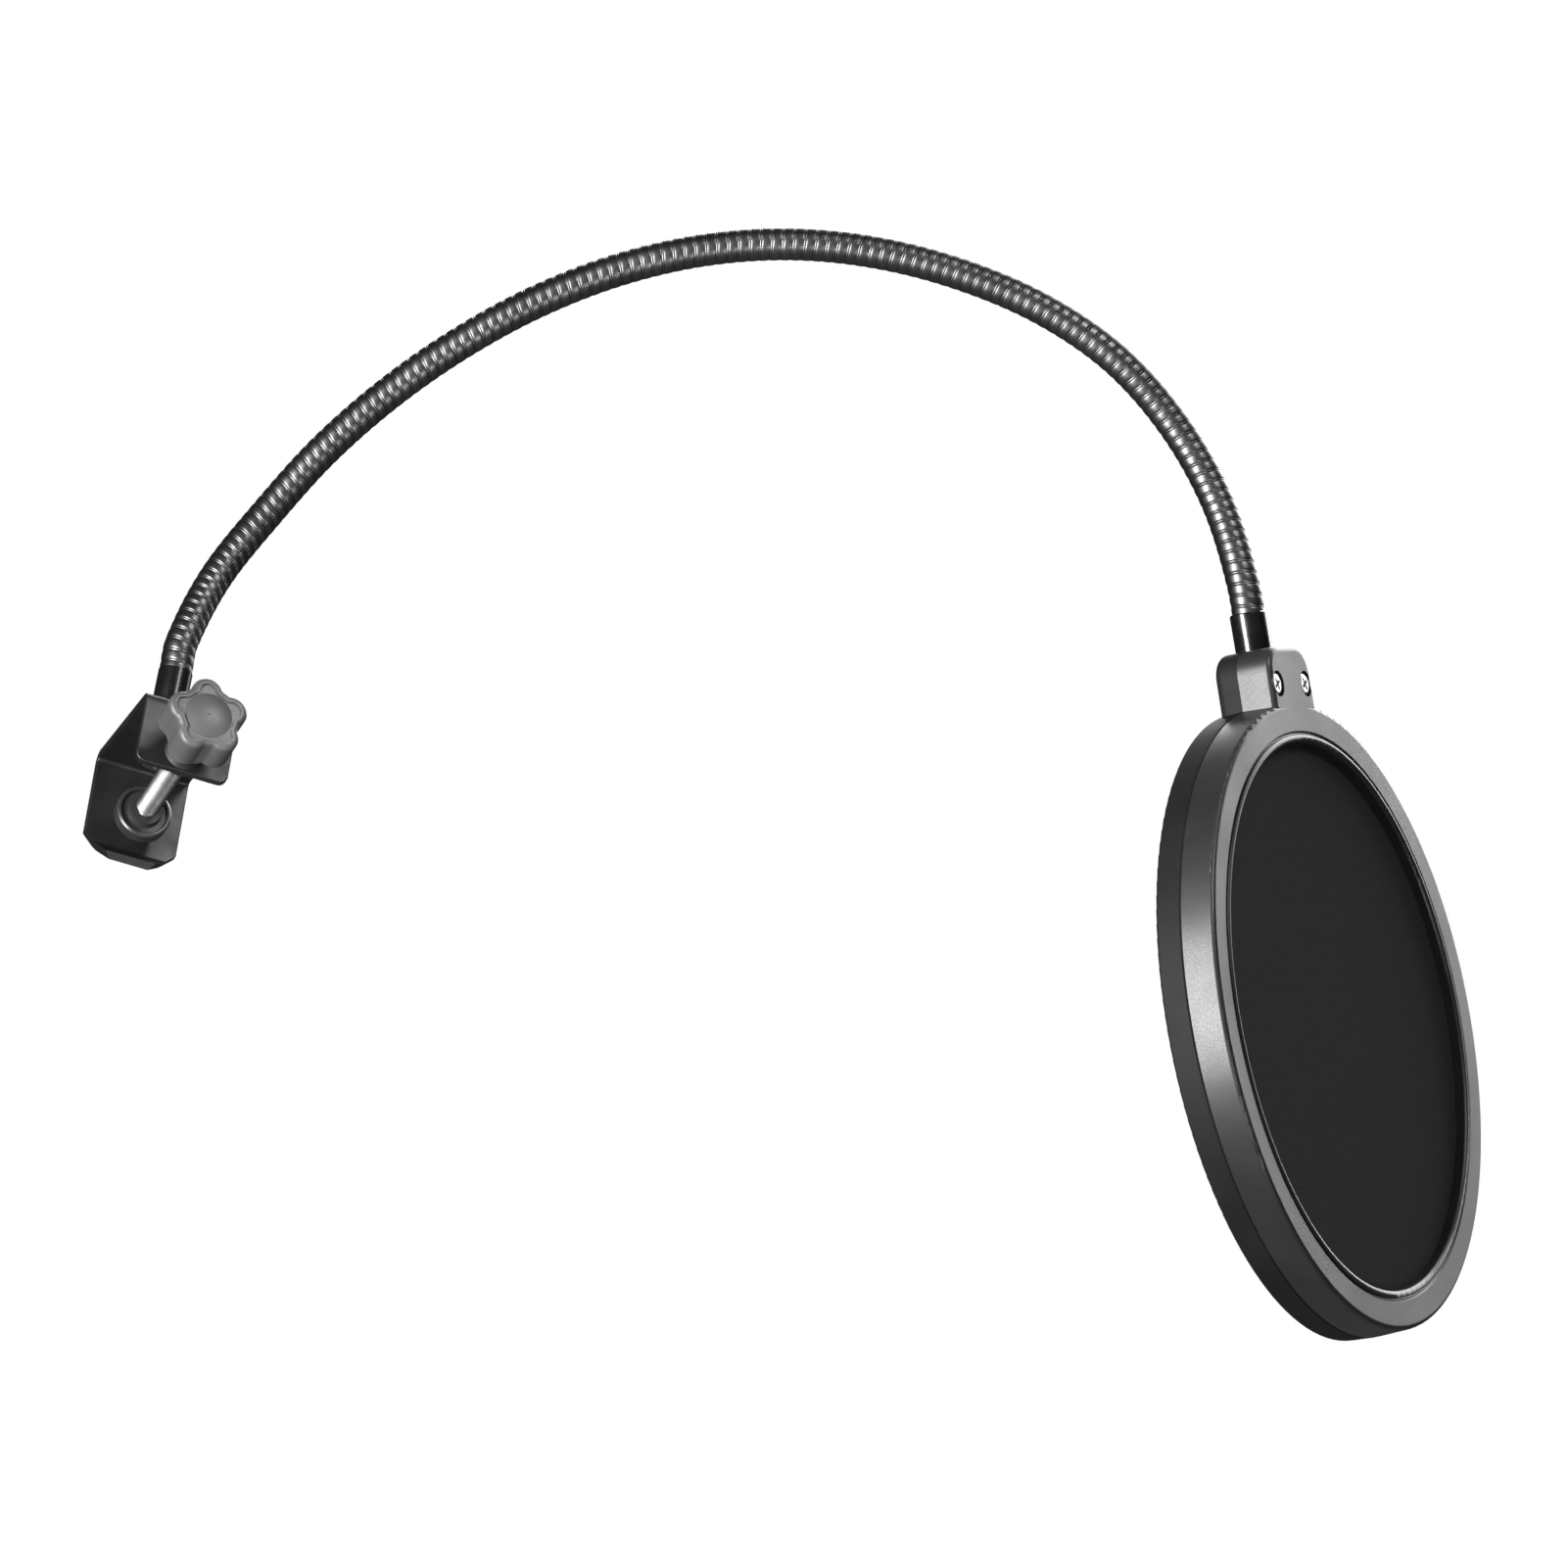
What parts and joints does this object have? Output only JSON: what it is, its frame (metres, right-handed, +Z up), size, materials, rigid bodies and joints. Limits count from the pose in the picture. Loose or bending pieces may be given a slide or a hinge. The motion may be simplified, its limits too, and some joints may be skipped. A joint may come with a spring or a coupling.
{
  "type": "pop filter",
  "caption": "Round mesh pop filter on a bendable gooseneck, with a screw clamp that grips a microphone stand or boom.",
  "frame": {"origin": "on the clamp's fixed jaw face, where the clamp screw's axis meets it", "axes": "+Z up, +X from the clamp towards the filter, +Y away from the side that the knob is on"},
  "size_m": [0.3364, 0.1575, 0.2678],
  "materials": {
    "bracket_paint": "satin black powder coat",
    "bush_steel": "turned steel",
    "bright_zinc": "bright zinc plate",
    "ferrule_black": "smooth gloss black",
    "pad_metal": "turned, dull zinc",
    "pad_rubber": "matt rubber",
    "knob_plastic": "satin moulded plastic",
    "insert_brass": "plain brass",
    "coil_black": "glossy black plated steel",
    "shell_plastic": "fine satin texture",
    "spacer_plastic": "plain moulded",
    "mesh_fabric": "open woven nylon mesh"
  },
  "bodies": {
    "clamp": {"clamp_bracket": "bracket_paint", "thread_bush": "bush_steel", "neck_screw": "bright_zinc", "neck_washer": "bright_zinc", "lower_ferrule": "ferrule_black", "gooseneck_coil_01": "coil_black"},
    "screw_tip": {"swivel_ball": "bright_zinc"},
    "pressure_pad": {"pad_cup": "pad_metal", "pad_face": "pad_rubber"},
    "clamp_screw": {"screw_rod": "bright_zinc", "knob_body": "knob_plastic", "knob_insert": "insert_brass"},
    "neck_02": {"gooseneck_coil_02": "coil_black"},
    "neck_03": {"gooseneck_coil_03": "coil_black"},
    "neck_04": {"gooseneck_coil_04": "coil_black"},
    "neck_05": {"gooseneck_coil_05": "coil_black"},
    "neck_06": {"gooseneck_coil_06": "coil_black"},
    "neck_07": {"gooseneck_coil_07": "coil_black"},
    "neck_08": {"gooseneck_coil_08": "coil_black"},
    "neck_09": {"gooseneck_coil_09": "coil_black"},
    "neck_10": {"gooseneck_coil_10": "coil_black"},
    "neck_11": {"gooseneck_coil_11": "coil_black"},
    "neck_12": {"gooseneck_coil_12": "coil_black"},
    "neck_13": {"gooseneck_coil_13": "coil_black"},
    "neck_14": {"gooseneck_coil_14": "coil_black"},
    "neck_15": {"gooseneck_coil_15": "coil_black"},
    "neck_16": {"gooseneck_coil_16": "coil_black"},
    "neck_17": {"gooseneck_coil_17": "coil_black"},
    "filter_head": {"gooseneck_coil_18": "coil_black", "upper_ferrule": "ferrule_black", "front_shell": "shell_plastic", "rear_shell": "shell_plastic", "spacer_ring": "spacer_plastic", "front_mesh": "mesh_fabric", "rear_mesh": "mesh_fabric", "tab_screws": "bright_zinc"}
  },
  "joints": [
    {"name": "knob_turn", "type": "hinge", "parent": "screw_tip", "child": "clamp_screw", "pos_m": [0.01441, -0.0407, 0.02097], "axis": [0.3003, -0.848, 0.4368], "range_deg": [-1442, 8642]},
    {"name": "screw_travel", "type": "slide", "parent": "clamp", "child": "screw_tip", "axis": [0.3003, -0.848, 0.4368], "range_m": [-0.004, 0.024]},
    {"name": "pad_tilt", "type": "hinge", "parent": "screw_tip", "child": "pressure_pad", "pos_m": [0.00279, -0.00789, 0.00406], "axis": [0.9421, 0.192, -0.275], "range_deg": [-6, 6]},
    {"name": "lower_bend_1", "type": "hinge", "parent": "clamp", "child": "neck_02", "pos_m": [0.01159, 0.0071, 0.04466], "axis": [-0.1524, 0.8842, -0.4416], "range_deg": [-16, 7]},
    {"name": "neck_sway_1", "type": "hinge", "parent": "neck_02", "child": "neck_03", "pos_m": [0.01973, 0.01811, 0.06045], "axis": [-0.8378, 0, 0.5459], "range_deg": [-12, 12]},
    {"name": "lower_bend_2", "type": "hinge", "parent": "neck_03", "child": "neck_04", "pos_m": [0.0319, 0.02557, 0.07582], "axis": [-0.1678, 0.9657, -0.1981], "range_deg": [-16, 7]},
    {"name": "neck_sway_2", "type": "hinge", "parent": "neck_04", "child": "neck_05", "pos_m": [0.04583, 0.02896, 0.09125], "axis": [-0.7013, 0, 0.7129], "range_deg": [-12, 12]},
    {"name": "lower_bend_3", "type": "hinge", "parent": "neck_05", "child": "neck_06", "pos_m": [0.06155, 0.03176, 0.10499], "axis": [-0.0965, 0.9925, -0.0753], "range_deg": [-16, 7]},
    {"name": "neck_sway_3", "type": "hinge", "parent": "neck_06", "child": "neck_07", "pos_m": [0.07874, 0.03411, 0.11695], "axis": [-0.5251, 0, 0.851], "range_deg": [-12, 12]},
    {"name": "lower_bend_4", "type": "hinge", "parent": "neck_07", "child": "neck_08", "pos_m": [0.09717, 0.03597, 0.12697], "axis": [-0.0719, 0.9969, -0.0333], "range_deg": [-16, 7]},
    {"name": "neck_sway_4", "type": "hinge", "parent": "neck_08", "child": "neck_09", "pos_m": [0.11676, 0.03744, 0.13456], "axis": [-0.2935, 0, 0.956], "range_deg": [-12, 12]},
    {"name": "lower_bend_5", "type": "hinge", "parent": "neck_09", "child": "neck_10", "pos_m": [0.13725, 0.03862, 0.13927], "axis": [-0.0523, 0.9986, -0.0077], "range_deg": [-16, 7]},
    {"name": "neck_sway_5", "type": "hinge", "parent": "neck_10", "child": "neck_11", "pos_m": [0.15823, 0.03966, 0.14068], "axis": [0.0172, 0, 0.9999], "range_deg": [-12, 12]},
    {"name": "upper_bend_1", "type": "hinge", "parent": "neck_11", "child": "neck_12", "pos_m": [0.17916, 0.04055, 0.13855], "axis": [-0.0315, 0.9995, 0.0057], "range_deg": [-16, 7]},
    {"name": "neck_sway_6", "type": "hinge", "parent": "neck_12", "child": "neck_13", "pos_m": [0.19952, 0.041, 0.1332], "axis": [0.3263, 0, 0.9453], "range_deg": [-12, 12]},
    {"name": "upper_bend_2", "type": "hinge", "parent": "neck_13", "child": "neck_14", "pos_m": [0.21885, 0.04085, 0.12485], "axis": [0.0021, 1, -0.0012], "range_deg": [-16, 7]},
    {"name": "neck_sway_7", "type": "hinge", "parent": "neck_14", "child": "neck_15", "pos_m": [0.23617, 0.0409, 0.11292], "axis": [0.6636, 0, 0.7481], "range_deg": [-12, 12]},
    {"name": "upper_bend_3", "type": "hinge", "parent": "neck_15", "child": "neck_16", "pos_m": [0.25006, 0.04158, 0.09716], "axis": [0.0203, 0.9994, -0.0286], "range_deg": [-16, 7]},
    {"name": "neck_sway_8", "type": "hinge", "parent": "neck_16", "child": "neck_17", "pos_m": [0.26031, 0.03943, 0.07896], "axis": [0.9165, 0, 0.4], "range_deg": [-12, 12]},
    {"name": "upper_bend_4", "type": "hinge", "parent": "neck_17", "child": "filter_head", "pos_m": [0.26645, 0.03415, 0.05962], "axis": [0.0381, 0.9867, -0.1583], "range_deg": [-16, 7]}
  ],
  "couplings": [
    {"joint": "knob_turn", "follows": "screw_travel", "rad_per_m": 6283.2},
    {"joint": "lower_bend_2", "follows": "lower_bend_1", "ratio": 1},
    {"joint": "neck_sway_2", "follows": "neck_sway_1", "ratio": 1},
    {"joint": "lower_bend_3", "follows": "lower_bend_1", "ratio": 1},
    {"joint": "neck_sway_3", "follows": "neck_sway_1", "ratio": 1},
    {"joint": "lower_bend_4", "follows": "lower_bend_1", "ratio": 1},
    {"joint": "neck_sway_4", "follows": "neck_sway_1", "ratio": 1},
    {"joint": "lower_bend_5", "follows": "lower_bend_1", "ratio": 1},
    {"joint": "neck_sway_5", "follows": "neck_sway_1", "ratio": 1},
    {"joint": "neck_sway_6", "follows": "neck_sway_1", "ratio": 1},
    {"joint": "upper_bend_2", "follows": "upper_bend_1", "ratio": 1},
    {"joint": "neck_sway_7", "follows": "neck_sway_1", "ratio": 1},
    {"joint": "upper_bend_3", "follows": "upper_bend_1", "ratio": 1},
    {"joint": "neck_sway_8", "follows": "neck_sway_1", "ratio": 1},
    {"joint": "upper_bend_4", "follows": "upper_bend_1", "ratio": 1}
  ]
}
